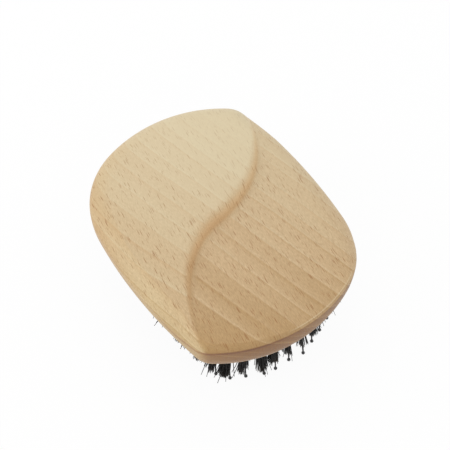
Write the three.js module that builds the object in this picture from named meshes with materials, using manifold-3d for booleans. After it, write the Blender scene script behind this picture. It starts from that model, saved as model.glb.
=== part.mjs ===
// Palm hairbrush: a block of beech sculpted for the hand, with an air-cushioned
// rubber bed of bristle tufts let into its underside.
//
// Frame: X runs along the brush, Y across it, Z up. The brush stands on its
// quill tips: z = 0 is the plane they touch, and the origin is under the middle.
import * as THREE from 'three';
import { mergeGeometries, mergeVertices } from 'three/addons/utils/BufferGeometryUtils.js';
import Module from 'manifold-3d';

// ---------------------------------------------------------------- sizes, mm

// Outline of the wooden back, seen from above.
const bodyLength = 98;
const bodyWidth = 76.4;
const endArcRadius = 51.5;
const sideArcRadius = 166;
const frontCornerRadius = 28;     // at +X +Y
const backCornerRadius = 31;      // at -X -Y
const tightCornerRadius = 8.5;    // at the other two, where the step runs out

// Heights on the back, above its flat underside.
const undersideHeight = 23.4;     // from the quill tips to the underside
const raisedHeight = 19.8;        // crown of the raised half
const raisedCrownX = -6;
const raisedFallBack = 4.0;       // how far the crown drops towards -X
const raisedFallFront = 0.9;      // towards +X
const raisedFallFar = 2.4;        // towards +Y
const raisedFallNear = 2.2;       // and towards -Y
const hollowHeight = 16.8;        // hollow half, on the long axis
const hollowTwist = 0.0018;       // tilt towards +Y, for every mm towards +X
const hollowFallWide = 1.2;
const stepLeast = 0.7;            // the hollow is at least this much the lower

// The S-shaped step between the halves: two arms that curl out from the middle,
// the near one to the +X -Y corner and the far one to the -X +Y corner.
const nearArmStart = -85;         // direction at the middle, degrees
const nearArmSweep = 42;          // how far it turns on its way to the corner
const nearArmPower = 1.2;         // how late it turns
const farArmStart = 103;
const farArmSweep = 30.4;
const farArmPower = 1.75;
const stepWidth = 4.8;            // from crest to foot
const stepNarrowing = 0.5;        // how much narrower the step is at its ends
const stepPlace = 0.19;           // share of its width on the raised side of the arms
const stepCrest = 0.42;           // share of its width that rounds the crest
const stepFoot = 0.28;            // and the foot
const stepFadePower = 9;          // how late the step dies out at the corners

// Edges of the back, where the top turns down into the wall.
const softEdgeReach = 8;          // rounded shoulder, measured inwards
const softEdgeDrop = 5;           // and downwards
const sideEdgeReach = 5.5;        // edge over the -Y side
const sideEdgeDrop = 6;
const cornerEdgeReach = 1.4;      // edge at the +X -Y corner
const cornerEdgeDrop = 1.6;
const crispEdgeReach = 0.8;       // hollow's end edge
const crispEdgeDrop = 1.1;
const edgeCrease = 0.4;           // share of the last three edges' drop that is a crease
const bellyHeight = 9.6;          // widest level of the wall
const bellyTuck = 0.9;            // wall draws in above it by this much, at crown level
const footTuck = 2.8;             // and below it, at the underside
const footRadius = 1.3;

// Recess in the underside: opening, groove for the cushion's flange, air chamber.
const openingEndInset = 5.1;      // from the outline to the opening, at the ends
const openingSideInset = 8.4;     // and along the sides
const openingCornerRadius = 14;
const lipHeight = 1.3;            // wood under the groove
const grooveHeight = 1.9;
const grooveDepth = 1.2;
const chamberDepth = 7.6;
const chamberLedge = 0.4;         // chamber wall stands in from the opening

// Rubber cushion.
const fitGap = 0.3;               // between pieces that touch
const rimWall = 0.6;              // rolled edge of the cushion
const rimStandOut = 1.0;          // below the underside
const rimRoll = 0.2;              // its edge is rolled in by this much on both faces
const padThickness = 2.0;
const padCrown = 2.6;             // the bed bulges this far beyond its own edge
const padCrownPower = 2.4;        // how flat the bulge is in the middle
const ventRadius = 0.8;
const ventLong = 0.53;            // place of the vent, as shares of the bed's half length
const ventWide = 0.31;            // and half width

// Tufts: one ball-tipped quill with bristle around it.
const rowCounts = [44, 28, 20, 16, 8];
const outerRowInset = 2.0;        // from the opening to the outermost tufts' roots
const rowGap = 6.0;
const fanLong = 2.8;              // the end quills lean out by this much
const fanWide = 1.2;              // and those along the sides
const quillRadius = 0.42;
const quillNeckRadius = 0.36;
const quillTurn = 45;             // degrees, so that a flat side faces outwards
const ballRadius = 0.78;
const ballFlat = 0.5;             // ground off the ball where the brush stands
const bristlesPerTuft = 3;
const bristleRadius = 0.32;
const bristleShort = 6;           // bristle ends above the quill tips
const bristleRootSpread = 0.55;
const bristleTipSpread = 1.75;

// Facets.
const backStations = 44;          // along the step, and along each half of the outline
const cornerCrowding = 0.55;
const topStations = [0, 0.025, 0.05, 0.075, 0.11, 0.2, 0.35, 0.5, 0.65, 0.77, 0.86, 0.92, 0.96,
  0.98, 0.992, 1];                // from the step out to the edge
const rimSpokes = 60;
const padSpokes = 56;
const padFrontStations = [0.5, 0.82, 1];
const padRearStations = [0.66, 1];
const rowPoints = 240;            // that an outline or a row of tufts is measured along

// ---------------------------------------------------------------- helpers

const degrees = Math.PI / 180;
const lerp = THREE.MathUtils.lerp;
const smoothstep = THREE.MathUtils.smoothstep;

// An outline with two curved ends and two flatter curved sides, inside the back's
// own by one inset at the ends and another along the sides. The result gives the
// point, the outward normal and the distance from the middle at a polar angle.
function makeOutline(endInset, sideInset, cornerRadii) {
  const endRadius = endArcRadius - endInset;
  const sideRadius = sideArcRadius - sideInset;
  const ends = new THREE.Vector2(bodyLength / 2 - endArcRadius, 0);
  const sides = new THREE.Vector2(0, bodyWidth / 2 - sideArcRadius);
  const corners = [[1, 1], [-1, 1], [-1, -1], [1, -1]].map(([sx, sy], i) => {
    const radius = cornerRadii[i];
    const a = new THREE.Vector2(ends.x * sx, 0);
    const b = new THREE.Vector2(0, sides.y * sy);
    const ra = endRadius - radius;
    const rb = sideRadius - radius;
    const axis = b.clone().sub(a);
    const span = axis.length();
    axis.normalize();
    const along = (ra * ra - rb * rb + span * span) / (2 * span);
    const aside = Math.sqrt(Math.max(ra * ra - along * along, 0));
    const across = new THREE.Vector2(-axis.y, axis.x).multiplyScalar(sx * sy);
    const centre = a.clone().addScaledVector(axis, along).addScaledVector(across, aside);
    const touchEnd = centre.clone().sub(a).setLength(endRadius).add(a);
    const touchSide = centre.clone().sub(b).setLength(sideRadius).add(b);
    return { centre, radius, touchEnd, touchSide, sx, sy };
  });
  const hit = (centre, radius, dir) => {
    const mid = centre.dot(dir);
    const off = centre.x * dir.y - centre.y * dir.x;
    return mid + Math.sqrt(radius * radius - off * off);
  };
  return (angle) => {
    const dir = new THREE.Vector2(Math.cos(angle), Math.sin(angle));
    const sx = dir.x < 0 ? -1 : 1;
    const sy = dir.y < 0 ? -1 : 1;
    const corner = corners.find((c) => c.sx === sx && c.sy === sy);
    const steep = Math.abs(dir.y / dir.x);
    let centre = new THREE.Vector2(ends.x * sx, 0);
    let radius = endRadius;
    if (steep > Math.abs(corner.touchSide.y / corner.touchSide.x)) {
      centre = new THREE.Vector2(0, sides.y * sy);
      radius = sideRadius;
    } else if (steep > Math.abs(corner.touchEnd.y / corner.touchEnd.x)) {
      centre = corner.centre;
      radius = corner.radius;
    }
    const reach = hit(centre, radius, dir);
    const point = dir.clone().multiplyScalar(reach);
    const normal = point.clone().sub(centre).normalize();
    return { point, normal, reach };
  };
}

const bodyOutline = makeOutline(
  0, 0, [frontCornerRadius, tightCornerRadius, backCornerRadius, tightCornerRadius]);

// An outline that runs parallel to the opening in the underside, inside it by inset.
function openingOffset(inset) {
  const radius = openingCornerRadius - inset;
  const corners = [radius, radius, radius, radius];
  return makeOutline(openingEndInset + inset, openingSideInset + inset, corners);
}

const openingOutline = openingOffset(0);

// Mesh through a stack of rings that all have the same number of points. A ring of
// one point closes an end. With loop set, the last ring joins the first; with open
// set, the rings are open rows.
function meshFromRings(rings, loop = false, open = false) {
  const positions = [];
  const addFace = (...corners) => {
    const [a, b, c] = corners;
    const same = (p, q) => p.distanceToSquared(q) < 1e-8;
    if (same(a, b) || same(b, c) || same(c, a)) return;
    for (const p of corners) positions.push(p.x, p.y, p.z);
  };
  const bands = loop ? rings.length : rings.length - 1;
  for (let k = 0; k < bands; k++) {
    const upper = rings[k];
    const lower = rings[(k + 1) % rings.length];
    const count = Math.max(upper.length, lower.length);
    for (let i = 0; i < (open ? count - 1 : count); i++) {
      const j = (i + 1) % count;
      const [a, b] = [upper[i % upper.length], upper[j % upper.length]];
      const [c, d] = [lower[i % lower.length], lower[j % lower.length]];
      addFace(a, c, b);
      addFace(b, c, d);
    }
  }
  const geometry = new THREE.BufferGeometry();
  geometry.setAttribute('position', new THREE.Float32BufferAttribute(positions, 3));
  return geometry;
}

const spokeAngles = (count) => Array.from({ length: count }, (_, i) => (i / count) * 2 * Math.PI);

// Polar angles of points that lie evenly along an outline.
function evenAngles(outline, count) {
  const points = spokeAngles(rowPoints).map((angle) => {
    const { point } = outline(angle);
    return new THREE.Vector3(point.x, point.y, 0);
  });
  const curve = new THREE.CatmullRomCurve3(points, true);
  return Array.from({ length: count }, (_, i) => {
    const at = curve.getPointAt(i / count);
    return Math.atan2(at.y, at.x);
  });
}

// A ring at a distance inside an outline (outside it where negative).
function offsetRing(outline, inset, z, angles) {
  return angles.map((angle) => {
    const { point, normal } = outline(angle);
    return new THREE.Vector3(point.x - normal.x * inset, point.y - normal.y * inset, z);
  });
}

// ---------------------------------------------------------------- wooden back

// Height of the sculpted top before its edges are rounded.
function crownHeight(x, y) {
  const long = (x - raisedCrownX) / (bodyLength / 2);
  const wide = y / (bodyWidth / 2);
  const fallLong = long > 0 ? raisedFallFront : raisedFallBack;
  const fallWide = wide > 0 ? raisedFallFar : raisedFallNear;
  const raised = raisedHeight - fallLong * long * long - fallWide * wide * wide;
  const hollow = hollowHeight - hollowTwist * x * y - hollowFallWide * wide * wide;
  return lerp(raised, Math.min(hollow, raised - stepLeast), stepShare(x, y));
}

// Direction of an arm of the step, at a share of the way out to the outline.
function nearArm(share) {
  return (nearArmStart + nearArmSweep * share ** nearArmPower) * degrees;
}

function farArm(share) {
  return (farArmStart + farArmSweep * share ** farArmPower) * degrees;
}

// A straight ramp from 0 to 1 with rounded ends, each a share of its length.
function roundedRamp(value, start, end) {
  const share = THREE.MathUtils.clamp(value, 0, 1);
  const slope = 1 / (1 - (start + end) / 2);
  if (share < start) return slope * share * share / (2 * start);
  if (share > 1 - end) return 1 - slope * (1 - share) ** 2 / (2 * end);
  return slope * (share - start / 2);
}

// 0 on the raised half, 1 on the hollow half, in between on the step.
function stepShare(x, y) {
  const angle = Math.atan2(y, x);
  const reach = Math.hypot(x, y);
  const share = reach / bodyOutline(angle).reach;
  const fromNear = reach * Math.sin(angle - nearArm(share));
  const fromFar = reach * Math.sin(farArm(share) - angle);
  const fromArm = y < x * Math.tan((nearArmStart + 90) * degrees) ? fromNear : fromFar;
  const fadeAngle = (nearArm(1) + farArm(1) - Math.PI) / 2;
  const outwards = x * Math.cos(fadeAngle) + y * Math.sin(fadeAngle);
  const along = Math.min(Math.abs(outwards) / bodyOutline(fadeAngle).reach, 1);
  const width = stepWidth * (1 - stepNarrowing * along * along);
  return roundedRamp(fromArm / width + stepPlace, stepCrest, stepFoot) * (1 - along ** stepFadePower);
}

const softEdge = [softEdgeReach, softEdgeDrop, 0];
const sideEdge = [sideEdgeReach, sideEdgeDrop, edgeCrease];
const cornerEdge = [cornerEdgeReach, cornerEdgeDrop, edgeCrease];
const crispEdge = [crispEdgeReach, crispEdgeDrop, edgeCrease];

// The edge at polar angles in degrees. It changes evenly between them.
const edgeKinds = [
  [-180, softEdge],
  [-138, softEdge],
  [-104, sideEdge],
  [-56, sideEdge],
  [-42, cornerEdge],
  [-14, cornerEdge],
  [0, crispEdge],
  [25, crispEdge],
  [46, softEdge],
  [180, softEdge],
];

// How far the top has dropped at a distance inside the outline.
function edgeDrop(angle, inside) {
  const turn = Math.atan2(Math.sin(angle), Math.cos(angle)) / degrees;
  const next = Math.max(edgeKinds.findIndex(([at]) => at >= turn), 1);
  const [from, before] = edgeKinds[next - 1];
  const [to, after] = edgeKinds[next];
  const between = (turn - from) / (to - from);
  const [reach, drop, crease] = before.map((value, i) => lerp(value, after[i], between));
  const left = Math.max(1 - inside / reach, 0);
  return drop * ((1 - crease) * (1 - Math.sqrt(1 - left * left)) + crease * left);
}

// Polar angle of the outline between the ends of the step, from v = -1 at the far
// end to v = 1 at the near one. Side is 1 past the raised half, -1 past the hollow.
// Points crowd together at the tight corners.
function rimAngle(v, side) {
  const even = (v + 1) / 2;
  const crowded = (1 - Math.cos(Math.PI * even)) / 2;
  const turn = lerp(even, crowded, cornerCrowding);
  const end = side > 0 ? nearArm(1) + 2 * Math.PI : nearArm(1);
  return lerp(farArm(1), end, turn);
}

const stepShares = Array.from({ length: backStations + 1 }, (_, i) => 2 * i / backStations - 1);
const backAngles = [
  ...stepShares.slice(0, -1).map((v) => rimAngle(v, 1)),
  ...stepShares.slice(1).toReversed().map((v) => rimAngle(v, -1)),
];

// A point on the middle of the step.
function stepPoint(v) {
  const share = Math.abs(v);
  const angle = v < 0 ? farArm(share) : nearArm(share);
  return new THREE.Vector2(Math.cos(angle), Math.sin(angle))
    .multiplyScalar(share * bodyOutline(angle).reach);
}

// A point of the finished top.
function topPoint(x, y) {
  const angle = Math.atan2(y, x);
  const { normal, reach } = bodyOutline(angle);
  const left = reach - Math.hypot(x, y);
  const inside = left * (normal.x * Math.cos(angle) + normal.y * Math.sin(angle));
  const z = undersideHeight + crownHeight(x, y) - edgeDrop(angle, Math.max(inside, 0));
  return new THREE.Vector3(x, y, z);
}

// One half of the top, woven between the step and the outline.
function makeTopHalf(side) {
  const rows = stepShares.map((v) => {
    const from = stepPoint(v);
    const to = bodyOutline(rimAngle(v, side)).point;
    return topStations.map((share) => {
      const at = from.clone().lerp(to, share);
      return topPoint(at.x, at.y);
    });
  });
  return meshFromRings(side > 0 ? rows.toReversed() : rows, false, true);
}

// How far the wall stands in from the outline at a height above the underside.
function wallInset(height) {
  if (height > bellyHeight) {
    return bellyTuck * ((height - bellyHeight) / (raisedHeight - bellyHeight)) ** 2;
  }
  return footTuck * ((bellyHeight - height) / bellyHeight) ** 2;
}

// The wall, one ring at a share of the way down from the top edge to the foot.
function wallRing(share) {
  return backAngles.map((angle) => {
    const { point, normal } = bodyOutline(angle);
    const top = topPoint(point.x, point.y).z - undersideHeight;
    const height = lerp(top, footRadius, share);
    const inset = wallInset(height) - wallInset(top) * (1 - share);
    return new THREE.Vector3(
      point.x - normal.x * inset, point.y - normal.y * inset, undersideHeight + height);
  });
}

function makeBack() {
  const rings = [0, 0.25, 0.5, 0.75, 1].map(wallRing);
  const footInset = wallInset(footRadius);
  for (const turn of [30, 60, 90]) {
    const inset = footInset + footRadius * (1 - Math.cos(turn * degrees));
    const z = undersideHeight + footRadius * (1 - Math.sin(turn * degrees));
    rings.push(offsetRing(bodyOutline, inset, z, backAngles));
  }
  const recess = [
    [0, 0],
    [0, lipHeight],
    [-grooveDepth, lipHeight],
    [-grooveDepth, lipHeight + grooveHeight],
    [chamberLedge, lipHeight + grooveHeight],
    [chamberLedge, chamberDepth],
  ];
  for (const [inset, height] of recess) {
    rings.push(offsetRing(openingOutline, inset, undersideHeight + height, backAngles));
  }
  rings.push([new THREE.Vector3(0, 0, undersideHeight + chamberDepth)]);
  return mergeGeometries([makeTopHalf(1), makeTopHalf(-1), meshFromRings(rings)]);
}

// ---------------------------------------------------------------- rubber cushion

const rimOuter = fitGap;                       // inside the opening
const rimInner = rimOuter + rimWall;
const bedInset = rimInner + fitGap;            // edge of the bed, inside the opening
const flangeOuter = -grooveDepth + fitGap;
const bedOutline = openingOffset(bedInset);

// Rolled edge and flange: one ring, held in the groove of the back.
function makeCushionRim() {
  const flangeLow = lipHeight + fitGap;
  const flangeHigh = lipHeight + grooveHeight - fitGap;
  const profile = [
    [flangeOuter, flangeHigh],
    [flangeOuter, flangeLow],
    [rimOuter, flangeLow],
    [rimOuter, -rimStandOut / 2],
    [rimOuter + rimRoll, -rimStandOut],
    [rimInner - rimRoll, -rimStandOut],
    [rimInner, -rimStandOut / 2],
    [rimInner, flangeHigh],
  ];
  const rings = profile.map(([inset, height]) =>
    offsetRing(openingOutline, inset, undersideHeight + height, spokeAngles(rimSpokes)));
  return meshFromRings(rings, true);
}

// Front face of the bed, which bulges downwards.
function padFace(x, y) {
  const share = Math.hypot(x, y) / bedOutline(Math.atan2(y, x)).reach;
  return undersideHeight - rimStandOut - padCrown * (1 - share ** padCrownPower);
}

function makePad() {
  const angles = evenAngles(bedOutline, padSpokes);
  const shell = (share, lift) => angles.map((angle) => {
    const { point } = bedOutline(angle);
    const x = point.x * share;
    const y = point.y * share;
    return new THREE.Vector3(x, y, padFace(x, y) + lift);
  });
  return meshFromRings([
    [new THREE.Vector3(0, 0, padFace(0, 0) + padThickness)],
    ...padRearStations.map((share) => shell(share, padThickness)),
    ...padFrontStations.toReversed().map((share) => shell(share, 0)),
    [new THREE.Vector3(0, 0, padFace(0, 0))],
  ]);
}

// ---------------------------------------------------------------- tufts

// Root and tip of every tuft. Each row is a shrunken copy of the outermost one.
function tuftPlaces() {
  const rootRow = openingOffset(outerRowInset);
  const longHalf = bodyLength / 2 - openingEndInset - outerRowInset;
  const wideHalf = bodyWidth / 2 - openingSideInset - outerRowInset;
  return rowCounts.flatMap((count, row) => {
    const scaleX = (longHalf - row * rowGap) / longHalf;
    const scaleY = (wideHalf - row * rowGap) / wideHalf;
    const points = spokeAngles(rowPoints).map((angle) => {
      const { point } = rootRow(angle);
      return new THREE.Vector3(point.x * scaleX, point.y * scaleY, 0);
    });
    const curve = new THREE.CatmullRomCurve3(points, true);
    return Array.from({ length: count }, (_, i) => {
      const root = curve.getPointAt((i + 0.5) / count);
      const lean = new THREE.Vector3(fanLong * root.x / longHalf, fanWide * root.y / wideHalf, 0);
      return { root, tip: root.clone().add(lean) };
    });
  });
}

// A straight strand through sections [height, radius]. Its last section is a point
// where the radius is 0.
function strand(root, tip, sections, sides, turn) {
  const rings = sections.map(([height, radius]) => {
    const along = 1 - height / sections[0][0];
    const x = lerp(root.x, tip.x, along);
    const y = lerp(root.y, tip.y, along);
    if (radius === 0) return [new THREE.Vector3(x, y, height)];
    return spokeAngles(sides).map((angle) => new THREE.Vector3(
      x + radius * Math.cos(angle + turn), y + radius * Math.sin(angle + turn), height));
  });
  const fans = [rings[0].toReversed(), rings.at(-1)]
    .filter((ring) => ring.length > 1)
    .map(([a, b, c, d = c]) => meshFromRings([[a, b], [d, c]], false, true));
  return mergeGeometries([meshFromRings(rings), ...fans]);
}

function makeTuft({ root, tip }) {
  const rootHeight = padFace(root.x, root.y) + padThickness / 2;
  const turn = Math.atan2(root.y, root.x);
  const strands = [strand(root, tip, [
    [rootHeight, quillRadius],
    [2 * ballRadius - ballFlat, quillNeckRadius],
    [ballRadius - ballFlat, ballRadius],
    [0, Math.sqrt(ballFlat * (2 * ballRadius - ballFlat))],
  ], 4, turn + quillTurn * degrees)];
  for (let i = 0; i < bristlesPerTuft; i++) {
    const angle = turn + ((i + 0.5) / bristlesPerTuft) * 2 * Math.PI;
    const away = new THREE.Vector3(Math.cos(angle), Math.sin(angle), 0);
    const from = root.clone().addScaledVector(away, bristleRootSpread);
    const ends = root.clone().lerp(tip, 1 - bristleShort / rootHeight);
    const to = ends.addScaledVector(away, bristleTipSpread);
    const floor = from.clone().lerp(to, rootHeight / (rootHeight - bristleShort));
    strands.push(strand(from, floor, [[rootHeight, bristleRadius], [bristleShort, 0]], 3, angle));
  }
  return strands;
}

// ---------------------------------------------------------------- solids

const wasm = await Module();
wasm.setup();

function toSolid(geometry) {
  const bare = geometry.index ? geometry.toNonIndexed() : geometry.clone();
  bare.deleteAttribute('normal');
  bare.deleteAttribute('uv');
  const merged = mergeVertices(bare, 1e-5);
  return new wasm.Manifold(new wasm.Mesh({
    numProp: 3,
    vertProperties: new Float32Array(merged.attributes.position.array),
    triVerts: new Uint32Array(merged.index.array),
  }));
}

function toGeometry(solid) {
  const mesh = solid.getMesh();
  const geometry = new THREE.BufferGeometry();
  geometry.setAttribute('position', new THREE.BufferAttribute(mesh.vertProperties, 3));
  geometry.setIndex(new THREE.BufferAttribute(mesh.triVerts, 1));
  return geometry;
}

// One quarter of the bed with its tufts: sx and sy pick the quarter.
function makeBedQuarter(pad, tufts, sx, sy) {
  const block = new THREE.BoxGeometry(bodyLength, bodyWidth, undersideHeight * 2);
  block.translate(sx * (bodyLength / 2 + fitGap / 2), sy * (bodyWidth / 2 + fitGap / 2), undersideHeight);
  const slice = pad.intersect(toSolid(block));
  const strands = tufts
    .filter(({ root }) => root.x * sx > 0 && root.y * sy > 0)
    .flatMap(makeTuft)
    .map(toSolid);
  return toGeometry(wasm.Manifold.union([slice, ...strands]));
}

const vent = new THREE.CylinderGeometry(ventRadius, ventRadius, undersideHeight, 10);
vent.rotateX(90 * degrees);
vent.translate(
  ventLong * bedOutline(0).reach, ventWide * bedOutline(90 * degrees).reach, undersideHeight);

const materials = {
  beech: new THREE.MeshStandardMaterial({ color: 0xdcc8a4, roughness: 0.55, metalness: 0 }),
  rubber: new THREE.MeshStandardMaterial({ color: 0x1b1a1a, roughness: 0.7, metalness: 0 }),
  bristle: new THREE.MeshStandardMaterial({ color: 0x17120f, roughness: 0.45, metalness: 0 }),
};

const brush = new THREE.Group();

function addPiece(name, geometry, material) {
  geometry.computeVertexNormals();
  const mesh = new THREE.Mesh(geometry, material.clone());
  mesh.name = name;
  brush.add(mesh);
}

const pad = toSolid(makePad()).subtract(toSolid(vent));
const tufts = tuftPlaces();

addPiece('wooden_back', makeBack(), materials.beech);
addPiece('cushion_rim', makeCushionRim(), materials.rubber);
addPiece('bristle_bed_front_right', makeBedQuarter(pad, tufts, 1, 1), materials.bristle);
addPiece('bristle_bed_back_right', makeBedQuarter(pad, tufts, -1, 1), materials.bristle);
addPiece('bristle_bed_back_left', makeBedQuarter(pad, tufts, -1, -1), materials.bristle);
addPiece('bristle_bed_front_left', makeBedQuarter(pad, tufts, 1, -1), materials.bristle);

export default brush;
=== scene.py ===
"""A palm hairbrush: a sculpted beech back over an air-cushioned bed of bristle tufts.

Frame, in metres: X runs along the brush, Y across it, Z up. The quill tips stand
on z = 0, under the middle of the back.
"""
import functools
import math
import random

import bmesh
import bpy
import numpy as np
from mathutils import Matrix, Vector


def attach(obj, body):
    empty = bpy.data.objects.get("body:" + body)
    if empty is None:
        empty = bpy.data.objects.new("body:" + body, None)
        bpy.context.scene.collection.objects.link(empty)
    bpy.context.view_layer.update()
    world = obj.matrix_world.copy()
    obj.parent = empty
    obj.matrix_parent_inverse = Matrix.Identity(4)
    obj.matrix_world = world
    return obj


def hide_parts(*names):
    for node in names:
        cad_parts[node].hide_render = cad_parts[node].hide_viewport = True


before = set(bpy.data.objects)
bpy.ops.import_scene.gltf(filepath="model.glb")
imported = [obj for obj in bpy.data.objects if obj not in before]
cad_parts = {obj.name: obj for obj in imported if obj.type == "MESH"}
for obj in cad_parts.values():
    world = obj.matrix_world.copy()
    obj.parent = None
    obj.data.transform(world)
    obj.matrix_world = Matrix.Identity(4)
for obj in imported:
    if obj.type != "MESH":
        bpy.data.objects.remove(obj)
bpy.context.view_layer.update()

bl_info = {
    "name": "Palm Hairbrush",
    "version": (1, 0, 0),
    "blender": (4, 5, 0),
    "location": "View3D > Sidebar > Hairbrush",
    "description": "Builds a beech palm hairbrush with a rubber cushion and bristle tufts",
    "category": "Add Mesh",
}

MM = 0.001


def length(name, description, millimetres):
    return bpy.props.FloatProperty(
        name=name, description=description, default=millimetres * MM, unit="LENGTH", precision=5
    )


def turn(name, description, angle):
    return bpy.props.FloatProperty(
        name=name, description=description, default=math.radians(angle), subtype="ANGLE"
    )


def number(name, description, value):
    return bpy.props.FloatProperty(name=name, description=description, default=value)


def count(name, description, value):
    return bpy.props.IntProperty(name=name, description=description, default=value, min=1)


def linear(hex_colour):
    """An sRGB hex colour as linear RGBA."""
    parts = [int(hex_colour[i : i + 2], 16) / 255 for i in (1, 3, 5)]
    return [c / 12.92 if c <= 0.04045 else ((c + 0.055) / 1.055) ** 2.4 for c in parts] + [1.0]


def colour(name, description, hex_colour):
    return bpy.props.FloatVectorProperty(
        name=name,
        description=description,
        default=linear(hex_colour)[:3],
        subtype="COLOR",
        min=0.0,
        max=1.0,
    )


# ---------------------------------------------------------------- settings


class BackSettings(bpy.types.PropertyGroup):
    """Sizes of the wooden back."""

    length: length("Length", "Length of the back", 98)
    width: length("Width", "Width of the back", 76.4)
    end_radius: length("End radius", "Curve of the two ends", 51.5)
    side_radius: length("Side radius", "Curve of the two long sides", 166)
    front_corner: length("Front corner", "Corner radius at +X +Y", 28)
    back_corner: length("Back corner", "Corner radius at -X -Y", 31)
    tight_corner: length("Tight corners", "Corner radius where the step runs out", 8.5)
    underside: length("Underside", "Height of the underside above the quill tips", 23.4)
    raised: length("Raised half", "Crown of the raised half above the underside", 19.8)
    raised_crown_x: length("Crown place", "Where along the brush the raised half is highest", -6)
    raised_fall_back: length("Crown fall, back", "Drop of the raised half towards -X", 4)
    raised_fall_front: length("Crown fall, front", "Drop of the raised half towards +X", 0.9)
    raised_fall_far: length("Crown fall, far side", "Drop of the raised half towards +Y", 2.4)
    raised_fall_near: length("Crown fall, near side", "Drop of the raised half towards -Y", 2.2)
    hollow: length("Hollow half", "Height of the hollow half on the long axis", 16.8)
    hollow_twist: number("Hollow twist", "Tilt towards +Y for every metre towards +X", 1.8)
    hollow_fall_wide: length("Hollow fall", "Drop of the hollow half towards the sides", 1.2)
    step_least: length("Least step", "The hollow is at least this much the lower", 0.7)
    step_width: length("Step width", "From the crest of the step to its foot", 4.8)
    step_narrowing: number("Step narrowing", "How much narrower the step is at its ends", 0.5)
    step_place: number("Step place", "Share of the step that lies on the raised side", 0.24)
    step_crest: number("Crest rounding", "Share of the step's width that rounds its crest", 0.32)
    step_foot: number("Foot rounding", "Share of the step's width that rounds its foot", 0.48)
    step_fade: number("Step fade", "How late the step dies out at the corners", 9)
    near_start: turn("Near arm start", "Direction of the near arm at the middle", -85)
    near_sweep: turn("Near arm sweep", "How far the near arm turns", 42)
    near_power: number("Near arm power", "How late the near arm turns", 1.2)
    far_start: turn("Far arm start", "Direction of the far arm at the middle", 103)
    far_sweep: turn("Far arm sweep", "How far the far arm turns", 30.4)
    far_power: number("Far arm power", "How late the far arm turns", 1.75)
    soft_reach: length("Shoulder reach", "Rounded shoulder, measured inwards", 8)
    soft_drop: length("Shoulder drop", "Rounded shoulder, measured downwards", 5)
    side_reach: length("Side edge reach", "Edge over the -Y side, measured inwards", 5.5)
    side_drop: length("Side edge drop", "Edge over the -Y side, measured downwards", 6)
    corner_reach: length("Corner edge reach", "Edge at the +X -Y corner, inwards", 2.6)
    corner_drop: length("Corner edge drop", "Edge at the +X -Y corner, downwards", 2.6)
    crisp_reach: length("Crisp edge reach", "Hollow's end edge, measured inwards", 0.8)
    crisp_drop: length("Crisp edge drop", "Hollow's end edge, measured downwards", 1.1)
    crease: number("Crease", "Share of an edge's drop that starts as a crease", 0.4)
    # The painted highlight along the crisp edge.
    edge_highlight_width: length("Worn width", "Width of the worn line along the crisp edge", 0.14)
    edge_line: length("Edge line", "Half width of the dark line under the corner edge", 0.55)
    # A painted crease shade along the slope of the step.
    crease_shade_width: length("Cut line", "Width of the dark line along the slope of the step", 0.8)
    crease_shade_place: number("Cut line place", "Share of the way down the step to the line", 0.62)
    belly: length("Belly height", "Widest level of the wall above the underside", 9.6)
    belly_tuck: length("Upper tuck", "How far the wall draws in at crown level", 0.9)
    foot_tuck: length("Lower tuck", "How far the wall draws in at the underside", 2.8)
    foot_radius: length("Foot radius", "Rounding of the bottom edge", 1.3)
    end_inset: length("Opening, ends", "From the outline to the opening, at the ends", 5.1)
    side_inset: length("Opening, sides", "From the outline to the opening, at the sides", 8.4)
    opening_corner: length("Opening corner", "Corner radius of the opening", 14)
    lip: length("Lip", "Wood under the groove", 1.3)
    groove: length("Groove height", "Groove for the cushion's flange", 1.9)
    groove_depth: length("Groove depth", "How far the groove reaches out", 1.2)
    ledge: length("Ledge", "How far the chamber wall stands in from the opening", 0.4)
    chamber: length("Chamber depth", "From the underside to the chamber's ceiling", 7.6)
    top_cells: count("Top cells", "Faces across the sculpted top", 236)


class CushionSettings(bpy.types.PropertyGroup):
    """Sizes of the rubber cushion."""

    gap: length("Fit gap", "Clearance between the cushion and the wood", 0.3)
    bead: length("Bead width", "Width of the rolled edge", 0.8)
    stand_out: length("Stand-out", "How far the cushion's edge stands below the wood", 1)
    thickness: length("Thickness", "Thickness of the rubber", 2)
    crown: length("Crown", "How far the middle bulges", 2.6)
    crown_power: number("Crown flatness", "How flat the bulge is in the middle", 2.4)
    bed_inset: length("Bed inset", "From the opening to the edge of the bed", 1.16)
    spokes: count("Spokes", "Faces round the cushion", 180)
    collar_radius: length("Collar radius", "Moulded collar round each tuft", 1.35)
    collar_height: length("Collar height", "How far a collar stands out", 0.45)
    vent_radius: length("Vent radius", "Air vent in the bed", 0.8)
    vent_long: number("Vent place along", "Share of the bed's half length", 0.53)
    vent_wide: number("Vent place across", "Share of the bed's half width", 0.31)


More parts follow.
